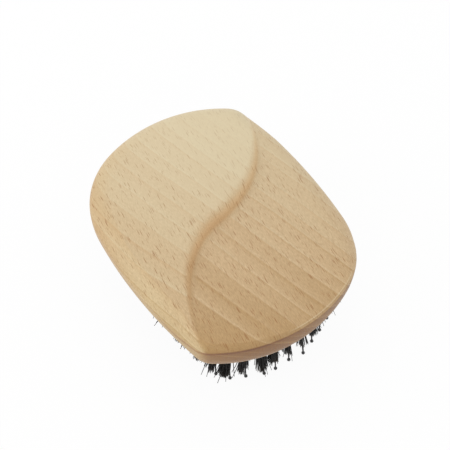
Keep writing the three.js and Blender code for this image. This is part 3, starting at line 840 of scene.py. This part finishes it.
def beech_material(finish):
    """Beech, sanded fine and oiled: satin, with growth rings, short ray flecks and fibre.

    Painted light and shade lie in its colour: a highlight along its sharp edge, light and
    a crease shade on the slope of its step, sheen over the crown and the -Y wall of the
    hollow half, and shade on its -Y side and, with the darker end grain, on its ends.
    """
    material, add, place = new_surface("beech_sanded_oiled")
    shades = {n: add("Attribute", output="Fac", attribute_name=n) for n in SHADES}
    ends, level, near, wall_sheen = beech_faces(add, place)
    base = beech_base(add, place, shades["down_step"])
    fades = {}
    for name, (start, end, most, least) in PALE_FADES.items():
        tones = {"Value": base, "From Min": start, "From Max": end}
        fades[name] = add("MapRange", {**tones, "To Min": most, "To Max": least})

    # Tone: the rings are stronger at the ends and don't show on the slope of the step.
    rings, from_pith = beech_rings(add, place)
    contrast = {0: ends, 1: END_RINGS, 2: fades["rings"]}
    contrast = add("Math", contrast, operation="MULTIPLY_ADD")
    from_slope = add("Math", {0: shades["down_step"], 1: 0.5}, operation="SUBTRACT")
    from_slope = add("Math", {0: from_slope}, operation="ABSOLUTE")
    off_slope = add("MapRange", {"Value": from_slope, "From Min": 0.3, "From Max": 0.5})
    contrast = add("Math", {0: contrast, 1: off_slope}, operation="MULTIPLY")
    tone = add("Math", {0: rings, 1: contrast, 2: base}, operation="MULTIPLY_ADD")
    zone_pace = add("Math", {0: from_pith, 1: ZONE_PACE}, operation="MULTIPLY")
    zones = add("TexNoise", {"W": zone_pace, "Scale": 1.0}, noise_dimensions="1D")
    zones = add("MapRange", {"Value": zones, "To Min": -ZONE_TONE, "To Max": ZONE_TONE})
    tone = add("Math", {0: tone, 1: zones}, operation="ADD")
    woods = ((0.0, finish.beech_deep), (0.36, finish.beech_middle), (1.0, finish.beech_pale))
    wood = add("ValToRGB", {"Fac": tone}, stops=[(spot, rgba(c)) for spot, c in woods])

    fibre = beech_fibre(add, place)
    streaks = ((0.3, (0.84, 0.81, 0.77, 1.0)), (0.7, grey(1.09)))
    fibre_tone = add("ValToRGB", {"Fac": fibre}, stops=streaks)
    multiply = {"data_type": "RGBA", "blend_type": "MULTIPLY", "output": 2}
    wood = add("Mix", {0: fades["fibre"], 6: wood, 7: fibre_tone}, **multiply)

    # The flecks lie level: on the walls they are cut across and hardly show.
    flecks = beech_flecks(add, place)
    flecks = add("Math", {0: flecks, 1: fades["flecks"]}, operation="MULTIPLY")
    flecks = add("Math", {0: flecks, 1: level}, operation="MULTIPLY")
    fleck_colour = rgba(finish.beech_fleck)
    wood = add("Mix", {0: flecks, 6: wood, 7: fleck_colour}, output=2, data_type="RGBA")

    tints = (
        (ends, rgba(finish.beech_end_and_shade)),  # cut fibres are darker, seen end on, with painted shade laid over them
        (near, rgba(finish.beech_side_shade)),  # painted shade towards -Y
        (wall_sheen, WALL_SHEEN_TINT),  # painted sheen on the wall of the hollow half there
        # painted light on the slope of the step
        (shades["painted_slope_light"], SLOPE_LIGHT_TINT),
        (shades["painted_crease_shade"], rgba(finish.beech_crease_shade)),  # painted crease shade on the slope
        (shades["edge_shade"], rgba(finish.beech_edge)),
    )
    for share, tint in tints:
        wood = add("Mix", {0: share, 6: wood, 7: tint}, **multiply)
    # A painted highlight along the crisp edge.
    painted_highlight = add("Math", {0: shades["painted_edge_highlight"], 1: EDGE_HIGHLIGHT_STRENGTH}, operation="MULTIPLY")
    edge_highlight_colour = rgba(finish.beech_edge_highlight)
    wood = add("Mix", {0: painted_highlight, 6: wood, 7: edge_highlight_colour}, output=2, data_type="RGBA")

    streak_span = {"Value": fibre, "From Min": 0.3, "From Max": 0.7}
    gloss = add("MapRange", {**streak_span, "To Min": 0.56, "To Max": 0.44})
    relief = add("Math", {0: flecks, 1: FLECK_RELIEF, 2: fibre}, operation="MULTIPLY_ADD")
    bump = add("Bump", {"Height": relief, "Strength": 0.3, "Distance": 0.05 * MM})
    shader = {"Base Color": wood, "Roughness": gloss, "Normal": bump, "IOR": 1.47}
    shader |= {"Sheen Weight": 0.1, "Sheen Roughness": 0.3}
    add("OutputMaterial", {"Surface": add("BsdfPrincipled", shader)})
    return material


def rubber_material(finish):
    """Moulded natural rubber: dull black with the mould's faint grain and a grey bloom.

    The grain is drawn 0.35 mm coarse so that it shows.
    """
    material, add, place = new_surface("rubber_moulded")
    mould = add("Mapping", {"Vector": place, "Scale": per_mm(0.35, 0.35, 0.35)})
    grain = add("TexNoise", {"Vector": mould, "Scale": 1.0})
    patches = add("Mapping", {"Vector": place, "Scale": per_mm(9, 9, 9)})
    bloom = add("TexNoise", {"Vector": patches, "Scale": 1.0, "Detail": 4.0})
    pale = paler(finish.rubber, gain=1.9, lift=0.004)
    tone = add("ValToRGB", {"Fac": bloom}, stops=((0.35, rgba(finish.rubber)), (0.75, pale)))
    gloss = add("MapRange", {"Value": bloom, "To Min": 0.5, "To Max": 0.78})
    bump = add("Bump", {"Height": grain, "Strength": 0.3, "Distance": 0.08 * MM})
    shader = {"Base Color": tone, "Roughness": gloss, "Normal": bump, "IOR": 1.52}
    add("OutputMaterial", {"Surface": add("BsdfPrincipled", shader)})
    return material


# Heights between which the tips of some bristles turn brown.
BROWN_FROM = 10.5 * MM
BROWN_FULL = 4.5 * MM


def bristle_material(finish):
    """Boar bristle, dyed black: each hair its own depth of black, some with brown tips."""
    material, add, place = new_surface("boar_bristle_dyed")
    hairs = add("Mapping", {"Vector": place, "Scale": per_mm(0.3, 0.3, 9)})
    each = add("TexNoise", {"Vector": hairs, "Scale": 1.0, "Detail": 1.0})
    height = add("SeparateXYZ", {0: place}, output="Z")
    tip = add("MapRange", {"Value": height, "From Min": BROWN_FROM, "From Max": BROWN_FULL})
    some = add("MapRange", {"Value": each, "From Min": 0.5, "From Max": 0.66})
    brown = add("Math", {0: tip, 1: some}, operation="MULTIPLY")
    colours = {6: rgba(finish.bristle), 7: rgba(finish.bristle_tip)}
    tone = add("Mix", {0: brown, **colours}, output=2, data_type="RGBA")
    gloss = add("MapRange", {"Value": each, "To Min": 0.3, "To Max": 0.55})
    shader = {"Base Color": tone, "Roughness": gloss, "IOR": 1.55, "Specular IOR Level": 0.12}
    add("OutputMaterial", {"Surface": add("BsdfPrincipled", shader)})
    return material


def nylon_material(finish):
    """Moulded nylon: glossy black, so that each ball has a small highlight."""
    material, add, place = new_surface("nylon_moulded")
    flow = add("Mapping", {"Vector": place, "Scale": per_mm(0.5, 0.5, 4)})
    swirl = add("TexNoise", {"Vector": flow, "Scale": 1.0})
    pale = paler(finish.nylon, gain=2.2, lift=0.003)
    tone = add("ValToRGB", {"Fac": swirl}, stops=((0.3, rgba(finish.nylon)), (0.8, pale)))
    gloss = add("MapRange", {"Value": swirl, "To Min": 0.18, "To Max": 0.32})
    shader = {"Base Color": tone, "Roughness": gloss, "IOR": 1.53}
    add("OutputMaterial", {"Surface": add("BsdfPrincipled", shader)})
    return material


# ---------------------------------------------------------------- operators


def settings():
    """The settings of the back, the cushion, the tufts and the finishes."""
    scene = bpy.context.scene
    return scene.brush_back, scene.brush_cushion, scene.brush_tufts, scene.brush_finish


# How strongly the top's rows crowd towards its edge, how far down the wall the two rows
# next to that edge lie, and the number of rows in the wall and in its rounded foot.
EDGE_CROWDING = 1.4
EDGE_SHARES = (0.02, 0.04)
WALL_ROWS = 14
FOOT_ROWS = 5


class BRUSH_OT_back(bpy.types.Operator):
    """Build the sculpted beech back with the recess in its underside"""

    bl_idname = "brush.back"
    bl_label = "Wooden Back"

    def execute(self, context):
        back, _, _, finish = settings()
        shape = BackShape(back)
        bm = bmesh.new()
        for name in ("angle", *SHADES):
            bm.verts.layers.float.new(name)
        cells = back.top_cells
        bmesh.ops.create_grid(bm, x_segments=cells, y_segments=cells, size=1.0)
        self.sculpt_top(bm, shape)
        top = set(bm.verts)
        rim = [v for v in bm.verts if v.is_boundary]
        for share in (*EDGE_SHARES, *np.linspace(0, 1, WALL_ROWS + 1)[1:]):
            rim = next_ring(bm, rim, lambda a, s=share: shape.wall_ring(a, s))
        foot_inset = float(shape.wall_inset(back.foot_radius))
        for angle in np.linspace(0, math.pi / 2, FOOT_ROWS + 1)[1:]:
            inset = foot_inset + back.foot_radius * (1 - math.cos(angle))
            height = back.underside + back.foot_radius * (1 - math.sin(angle))
            rim = next_ring(bm, rim, lambda a, i=inset, h=height: shape.body.ring(a, i, h))
        above_groove = back.lip + back.groove
        recess = (
            (0, 0),
            (0, back.lip),
            (-back.groove_depth, back.lip),
            (-back.groove_depth, above_groove),
            (back.ledge, above_groove),
            (back.ledge, back.chamber),
        )
        for inset, rise in recess:
            height = back.underside + rise
            rim = next_ring(bm, rim, lambda a, i=inset, h=height: shape.opening.ring(a, i, h))
        close_ring(bm, rim, height)
        layers = bm.verts.layers.float
        for vert in set(bm.verts) - top:
            vert[layers["painted_edge_highlight"]] = 0.0
        angles = np.array([v[layers["angle"]] for v in bm.verts])
        shades = shape.edge_shade(angles, np.array([v.co.z for v in bm.verts]))
        for vert, shade in zip(bm.verts, shades):
            vert[layers["edge_shade"]] = shade
        made = finished(bm, "beech_back", beech_material(finish), smooth_below=32)
        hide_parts("wooden_back")
        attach(made, "back")
        return {"FINISHED"}

    @staticmethod
    def sculpt_top(bm, shape):
        """Stretch a square grid over the outline and give it the top's heights.

        Rows crowd towards the edge, where the shoulders are rounded.
        """
        layer = bm.verts.layers.float["angle"]
        verts = list(bm.verts)
        square = np.array([v.co[:2] for v in verts])
        square = np.sign(square) * (1 - (1 - np.abs(square)) ** EDGE_CROWDING)
        disc = square * np.sqrt(1 - square[:, ::-1] ** 2 / 2)
        angles = np.arctan2(disc[:, 1], disc[:, 0])
        flat = disc * shape.body.at(angles)[2][:, None]
        heights = shape.back.underside + shape.top_height(flat[:, 0], flat[:, 1])
        for vert, spot, angle in zip(verts, with_height(flat, heights), angles):
            vert.co = spot
            vert[layer] = angle
        for name in TOP_SHADES:
            layer = bm.verts.layers.float[name]
            for vert, value in zip(verts, getattr(shape, name)(*flat.T)):
                vert[layer] = value


# The rolled edge: the angles round its section, and how far it hangs below its stand-out
# as a share of its radius.
BEAD_ANGLES = np.linspace(0.1 * math.pi, math.pi, 8)
BEAD_HANG = 0.35

# The bed: its rings, as shares of the way out from its middle, and how much higher its
# edge begins.
BED_SHARES = (0.04, 0.12, 0.2, 0.3, 0.4, 0.5, 0.58, 0.66, 0.73, 0.8, 0.85, 0.9, 0.94, 0.97, 0.99)
BED_EDGE = 0.2 * MM


class BRUSH_OT_cushion(bpy.types.Operator):
    """Build the rubber cushion: the edge that the wood holds and the bed inside it"""

    bl_idname = "brush.cushion"
    bl_label = "Rubber Cushion"

    def execute(self, context):
        back, cushion, _, finish = settings()
        shape = BackShape(back)
        rubber = rubber_material(finish)
        self.rim(shape, cushion, rubber)
        self.bed(shape, cushion, rubber)
        return {"FINISHED"}

    @staticmethod
    def rim(shape, cushion, rubber):
        """The rolled edge under the wood, and the flange in the wood's groove."""
        back = shape.back
        gap = cushion.gap
        bead = cushion.bead / 2
        low = bead - cushion.stand_out - bead * BEAD_HANG
        rolled = [
            (gap + bead + bead * math.cos(t), low - bead * math.sin(t))
            for t in BEAD_ANGLES
        ]
        flange_low = back.lip + gap
        flange_high = back.lip + back.groove - gap
        flange = [
            (gap, flange_low),
            (-back.groove_depth + gap, flange_low),
            (-back.groove_depth + gap, flange_high),
            (gap + cushion.bead, flange_high),
        ]

        def ring(inset, rise):
            return lambda angles: shape.opening.ring(angles, inset, back.underside + rise)

        bm = ring_body([ring(*spot) for spot in rolled + flange], cushion.spokes)
        made = finished(bm, "rubber_rim", rubber, smooth_below=50)
        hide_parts("cushion_rim")
        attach(made, "back")

    @staticmethod
    def bed(shape, cushion, rubber):
        """The crowned bed that carries the tufts, with its edge close inside the rim."""
        outline = shape.opening_offset(cushion.bed_inset)

        def ring(share, lift):
            def place(angles):
                flat = outline.at(angles)[0] * share
                return with_height(flat, pad_height(shape, cushion, *flat.T) + lift)

            return place

        low = pad_height(shape, cushion, 0.0, 0.0)
        bm = circle_of_angles(cushion.spokes, filled=True)
        rim = [v for v in bm.verts if v.is_boundary]
        for vert in bm.verts:
            vert.co = (0, 0, low)
        move_ring(bm, rim, ring(BED_SHARES[0], 0))
        for share in BED_SHARES[1:]:
            rim = next_ring(bm, rim, ring(share, 0))
        rim = next_ring(bm, rim, ring(1, BED_EDGE))
        rim = next_ring(bm, rim, ring(1, cushion.thickness))
        for share in BED_SHARES[::-3]:
            rim = next_ring(bm, rim, ring(share, cushion.thickness))
        close_ring(bm, rim, low + cushion.thickness)
        made = finished(bm, "rubber_bed", rubber, smooth_below=50)
        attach(made, "bristle_bed")


# The quills' tips: the rings of a ball, the share of a half turn that they go round it,
# and the radius of its ground flat as a share of its own.
BALL_RINGS = 7
BALL_ROUND = 0.94
BALL_FLAT = 0.3

# How far the roots and the collars reach into the rubber.
ROOT_DEPTH = 0.6 * MM
COLLAR_DEPTH = 0.8 * MM

# A collar's radii at its foot and in the rubber, and the vent ring's section as (radius,
# mm above the face of the bed), all radii as shares of the setting.
COLLAR_RADII = (0.86, 1.2)
VENT_SECTION = ((1.9, 0.7), (1.75, -0.1), (1.35, -0.3), (1.05, -0.22), (1, 0.1), (1, 0.7))

# Irregular bristles: how far each strays round the quill and outwards from its clump, how
# far out it may be as a share of the tuft's radius, and how much of its raggedness is its
# clump's. A few strays lean by more than the others' wildness.
CLUMP_TURN = 0.5
CLUMP_RING = 0.22
RING_LIMIT = 1.1
CLUMP_RAGGED = 0.6
STRAY_SHARE = 0.04
STRAY_LEAN = 3
WILDNESS = 0.15 * MM

# A bristle's points as shares of its length, how late it flares and how much it thins.
BRISTLE_SHARES = (0.0, 0.4, 0.75, 1.0)
BRISTLE_FLARE = 1.7
BRISTLE_TAPER = 0.5


class BRUSH_OT_tufts(bpy.types.Operator):
    """Build the bristle tufts, their ball-tipped quills and the collars they stand in"""

    bl_idname = "brush.tufts"
    bl_label = "Tufts and Quills"

    def execute(self, context):
        back, cushion, tufts, finish = settings()
        shape = BackShape(back)
        places = tuft_places(shape, tufts)
        side_row = max(root[1] for _, root, _ in places)
        dice = random.Random(tufts.seed)
        lean_dice = random.Random(tufts.lean_seed)
        roots = [float(pad_height(shape, cushion, *root)) for _, root, _ in places]
        bristle = bristle_material(finish)
        nylon = nylon_material(finish)
        rubber = bpy.data.materials["rubber_moulded"]
        quills = []
        hairs = {band: [] for band in ROW_BANDS}
        for (row, root, tip), surface in zip(places, roots):
            foot = np.array((*root, surface + ROOT_DEPTH))
            lean = np.array([lean_dice.gauss(0, tufts.lean) for _ in "xy"])
            end = np.array((*(tip + lean), 0.0))
            quills.append(self.quill(tufts, foot, end))
            side = root[1] / side_row if row == 0 else 0.0
            forward = np.clip((root[0] - tufts.splay_start) / tufts.splay_rise, 0, 1)
            splay = np.array((0.0, tufts.splay * forward * side * abs(side)))
            away = shape.opening.at(math.atan2(root[1], root[0]))[1] * (row == 0)
            rimward = np.array((*away, 0.0))
            hairs[ROW_BANDS[row]] += self.tuft(tufts, foot, end, splay, rimward, dice)
        nodes = [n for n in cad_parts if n.startswith("bristle_bed")]
        for band, strands in hairs.items():
            piece = strands_to_mesh(strands, f"bristle_tufts_{band}", bristle, roundness=0)
            if band == "outer":
                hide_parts(*nodes)
            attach(piece, "bristle_bed")
        piece = strands_to_mesh(quills, "ball_tipped_quills", nylon, roundness=1)
        for vert in piece.data.vertices:
            vert.co.z = max(vert.co.z, 0.0)
        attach(piece, "bristle_bed")
        self.collars(cushion, places, roots, rubber)
        self.vent(shape, cushion, rubber)
        return {"FINISHED"}

    @staticmethod
    def quill(tufts, foot, end):
        """A tapering shaft that ends in a ball standing on the floor plane."""
        ball = tufts.ball_radius
        axis = foot - end
        axis = axis / np.linalg.norm(axis)
        centre = end + np.array((0, 0, ball))
        strand = [(foot, tufts.quill_radius)]
        start = math.asin(tufts.neck_radius / ball)
        for angle in np.linspace(start, math.pi * BALL_ROUND, BALL_RINGS):
            strand.append((centre + axis * ball * math.cos(angle), ball * math.sin(angle)))
        strand[-1] = (np.array((*strand[-1][0][:2], 0.0)), ball * BALL_FLAT)
        return strand

    @staticmethod
    def tuft(tufts, foot, end, splay, rimward, dice):
        """Bristles round one quill, gathered into ragged clumps at their tips.

        Their tips are moved by splay. Roots keep clear of the rubber's rim: rimward
        points to it from the outer row, and is zero in the other rows.
        """
        turns = [dice.uniform(0, 2 * math.pi) for _ in range(tufts.clumps)]
        clumps = [(t, math.sqrt(dice.random()), abs(dice.gauss(0, 1))) for t in turns]
        short = tufts.hair_short + dice.uniform(-1, 1) * tufts.hair_uneven
        strands = []
        for _ in range(tufts.hairs):
            turn, ring, shortness = dice.choice(clumps)
            stray = dice.random() < STRAY_SHARE
            turn += dice.gauss(0, CLUMP_TURN)
            ring = min(abs(ring + dice.gauss(0, CLUMP_RING)), RING_LIMIT)
            away = np.array((math.cos(turn), math.sin(turn), 0.0))
            start = foot + away * ring * tufts.root_spread
            start -= rimward * max((start - foot) @ rimward - tufts.root_room, 0.0)
            ragged = CLUMP_RAGGED * shortness + (1 - CLUMP_RAGGED) * abs(dice.gauss(0, 1))
            height = short + ring**2 * tufts.hair_taper + ragged * tufts.hair_ragged
            down = (foot[2] - height) / (foot[2] - end[2])
            wild = np.array((dice.gauss(0, 1), dice.gauss(0, 1), 0.0)) * WILDNESS
            spread = tufts.tip_spread * ring + (tufts.stray_reach if stray else 0)
            wild = wild * (STRAY_LEAN if stray else 1)
            tip = foot + (end - foot) * down + away * spread + wild
            tip[:2] += splay
            tip[2] = height
            curl = np.array((dice.gauss(0, 1), dice.gauss(0, 1), 0.0)) * WILDNESS
            strand = []
            for share in BRISTLE_SHARES:
                flare = share**BRISTLE_FLARE
                spot = start + (tip - start) * np.array((flare, flare, share))
                lean = (end - foot) * down * (share - flare)
                spot = spot + np.array((lean[0], lean[1], 0.0)) + curl * math.sin(math.pi * share)
                strand.append((spot, tufts.hair_radius * (1 - BRISTLE_TAPER * share**2)))
            strands.append(strand)
        return strands

    @staticmethod
    def collars(cushion, places, roots, rubber):
        """A low moulded collar where each tuft comes through the rubber."""
        bm = bmesh.new()
        depth = cushion.collar_height + COLLAR_DEPTH
        outer, inner = (cushion.collar_radius * share for share in COLLAR_RADII)
        for (_, root, _), surface in zip(places, roots):
            middle = surface - cushion.collar_height + depth / 2
            bmesh.ops.create_cone(
                bm,
                cap_ends=True,
                segments=14,
                radius1=outer,
                radius2=inner,
                depth=depth,
                matrix=Matrix.Translation((*root, middle)),
            )
        made = finished(bm, "tuft_collars", rubber)
        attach(made, "bristle_bed")

    @staticmethod
    def vent(shape, cushion, rubber):
        """The small ring round the hole that lets the cushion breathe."""
        bed = shape.opening_offset(cushion.bed_inset)
        x = cushion.vent_long * float(bed.at(0.0)[2])
        y = cushion.vent_wide * float(bed.at(math.pi / 2)[2])
        surface = float(pad_height(shape, cushion, x, y))

        def circle(share, rise):
            def place(angles):
                size = cushion.vent_radius * share
                flat = np.stack((x + size * np.cos(angles), y + size * np.sin(angles)), -1)
                return with_height(flat, surface + rise * MM)

            return place

        bm = ring_body([circle(*spot) for spot in VENT_SECTION], segments=24)
        made = finished(bm, "vent_ring", rubber)
        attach(made, "bristle_bed")


def seen_plainly(owner):
    """1 for rays that the camera, a mirror or a clear body sees directly, else 0."""
    seen = add_node(owner, "LightPath", output="Is Camera Ray")
    rays = seen.node.outputs
    for name in ("Is Glossy Ray", "Is Transmission Ray"):
        seen = add_node(owner, "Math", {0: seen, 1: rays[name]}, operation="MAXIMUM")
    return seen


# The floor's half size in metres, how much of it glows white to the camera, the light of
# the surround, and the lamps: name, azimuth and elevation in degrees as the camera's,
# distance and size in metres, and power in watts.
FLOOR_HALF = 1.6
PAPER_GLOW = 0.94
SURROUND_LEVEL = 0.9
LAMPS = (
    ("rear_lamp", -114, 50, 0.9, 0.4, 0.8),
    ("side_lamp", -30, 24, 0.9, 0.6, 1.7),
)


class BRUSH_OT_stage(bpy.types.Operator):
    """Set up the floor, the soft studio light, the white surroundings and the camera"""

    bl_idname = "brush.stage"
    bl_label = "Stage"

    def execute(self, context):
        scene = context.scene
        scene.view_settings.view_transform = "Standard"
        self.floor(scene)
        self.world(scene)
        self.lamps(scene)
        self.camera(scene)
        return {"FINISHED"}

    @staticmethod
    def floor(scene):
        """Pale paper. The camera sees it close to white, with the brush's shadow on it."""
        material, add, place = new_surface("studio_paper")
        fibres = add("Mapping", {"Vector": place, "Scale": per_mm(2, 2, 2)})
        felt = add("TexNoise", {"Vector": fibres, "Scale": 1.0, "Detail": 3.0})
        rough = add("MapRange", {"Value": felt, "To Min": 0.8, "To Max": 1.0})
        paper = {"Base Color": rgba(scene.brush_finish.floor), "Roughness": rough}
        shader = add("BsdfPrincipled", paper)
        glow = add("Emission", {"Color": WHITE})
        seen = seen_plainly(material)
        share = add("Math", {0: seen, 1: PAPER_GLOW}, operation="MULTIPLY")
        mix = add("MixShader", {0: share, 1: shader, 2: glow})
        add("OutputMaterial", {"Surface": mix})
        bm = bmesh.new()
        bmesh.ops.create_grid(bm, x_segments=8, y_segments=8, size=FLOOR_HALF)
        floor = finished(bm, "studio_floor", material)

    @staticmethod
    def world(scene):
        """An even surround, which the camera and mirrors see as plain white."""
        world = empty_nodes(bpy.data.worlds.new("studio_surround"))
        levels = {"Value": seen_plainly(world), "To Min": SURROUND_LEVEL, "To Max": 1.0}
        level = add_node(world, "MapRange", levels)
        light = add_node(world, "Background", {"Strength": level, "Color": WHITE})
        add_node(world, "OutputWorld", {"Surface": light})
        scene.world = world

    @staticmethod
    def lamps(scene):
        """Two wide lamps, as the camera sees them: high behind the brush, and low on its left."""
        for name, azimuth, elevation, distance, size, power in LAMPS:
            data = bpy.data.lights.new(name, "AREA")
            data.shape = "DISK"
            data.size = size
            data.energy = power
            lamp = bpy.data.objects.new(name, data)
            around = Matrix.Rotation(math.radians(azimuth), 3, "Z")
            up = Matrix.Rotation(math.radians(-elevation), 3, "X")
            place = around @ up @ Vector((0, -1, 0)) * distance
            lamp.location = place
            lamp.rotation_mode = "QUATERNION"
            lamp.rotation_quaternion = place.to_track_quat("Z", "Y")
            scene.collection.objects.link(lamp)

    @staticmethod
    def camera(scene):
        """The camera, at the photo's angle: right, above and back are its own axes."""
        view = scene.brush_camera
        across, up = view.azimuth, view.elevation
        back = Vector(
            (math.sin(across) * math.cos(up), -math.cos(across) * math.cos(up), math.sin(up))
        )
        right = Vector((math.cos(across), math.sin(across), 0))
        above = back.cross(right)
        data = bpy.data.cameras.new("photo_camera")
        data.lens = view.lens
        data.sensor_width = 36
        data.clip_start = 0.01
        camera = bpy.data.objects.new("photo_camera", data)
        aim = Vector((0, 0, view.aim_height))
        camera.location = aim + back * view.distance + right * view.aside + above * view.above
        camera.rotation_mode = "QUATERNION"
        camera.rotation_quaternion = Matrix((right, above, back)).transposed().to_quaternion()
        scene.collection.objects.link(camera)
        scene.camera = camera


class BRUSH_PT_sidebar(bpy.types.Panel):
    """Sidebar panel that lists the brush's steps and sizes"""

    bl_label = "Palm Hairbrush"
    bl_idname = "BRUSH_PT_sidebar"
    bl_space_type = "VIEW_3D"
    bl_region_type = "UI"
    bl_category = "Hairbrush"

    def draw(self, context):
        layout = self.layout
        for operator in OPERATORS:
            layout.operator(operator.bl_idname)
        for name, group in GROUPS.items():
            box = layout.box()
            box.label(text=group.__doc__)
            held = getattr(context.scene, name)
            for key in group.__annotations__:
                box.prop(held, key)


# The settings by their names in the scene, and the operators in the panel's order.
GROUPS = {
    "brush_back": BackSettings,
    "brush_cushion": CushionSettings,
    "brush_tufts": TuftSettings,
    "brush_finish": FinishSettings,
    "brush_camera": CameraSettings,
}
OPERATORS = (BRUSH_OT_back, BRUSH_OT_cushion, BRUSH_OT_tufts, BRUSH_OT_stage)


def register():
    for item in (*GROUPS.values(), *OPERATORS, BRUSH_PT_sidebar):
        bpy.utils.register_class(item)
    for name, group in GROUPS.items():
        setattr(bpy.types.Scene, name, bpy.props.PointerProperty(type=group))


def unregister():
    for name in GROUPS:
        delattr(bpy.types.Scene, name)
    for item in (BRUSH_PT_sidebar, *OPERATORS, *GROUPS.values()):
        bpy.utils.unregister_class(item)


def main():
    register()
    bpy.ops.brush.stage()
    bpy.ops.brush.back()
    bpy.ops.brush.cushion()
    bpy.ops.brush.tufts()


if __name__ == "__main__":
    main()
